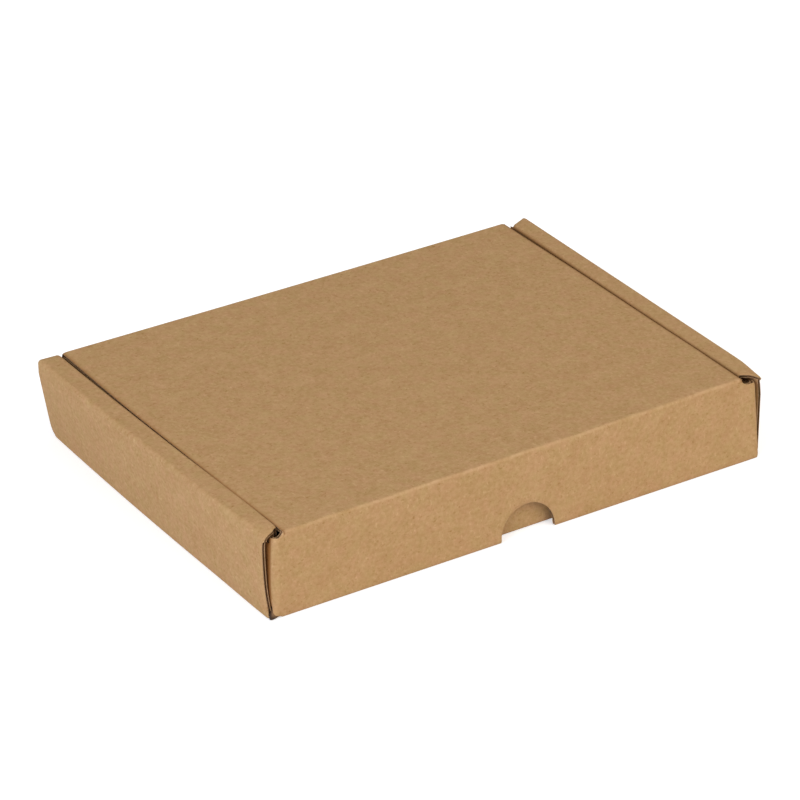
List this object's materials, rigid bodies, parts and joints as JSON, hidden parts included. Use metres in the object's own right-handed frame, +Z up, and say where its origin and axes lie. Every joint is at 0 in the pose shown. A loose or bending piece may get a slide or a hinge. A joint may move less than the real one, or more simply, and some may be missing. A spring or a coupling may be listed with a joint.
{
  "type": "corrugated mailer box",
  "caption": "Flat folded corrugated mailer box with rolled side walls, a hinged lid between them and a tuck-in front flap with a thumb notch.",
  "frame": {"origin": "on the table under the middle of the closed box, with the front flap's foot and the back wall at equal distances", "axes": "+X along the front to the right, +Y from the front flap to the back fold of the lid, +Z up"},
  "size_m": [0.165, 0.1198, 0.025],
  "materials": {
    "kraft_board": "matte"
  },
  "bodies": {
    "tray": {"tray": "kraft_board"},
    "lid": {"lid": "kraft_board"},
    "front_flap": {"front_flap": "kraft_board"}
  },
  "joints": [
    {"name": "lid_hinge", "type": "hinge", "parent": "tray", "child": "lid", "pos_m": [0, 0.05992, 0.025], "axis": [-1, 0, 0], "range_deg": [0, 180]},
    {"name": "flap_hinge", "type": "hinge", "parent": "lid", "child": "front_flap", "pos_m": [0, -0.05799, 0.025], "axis": [-1, 0, 0], "range_deg": [0, 100]}
  ]
}
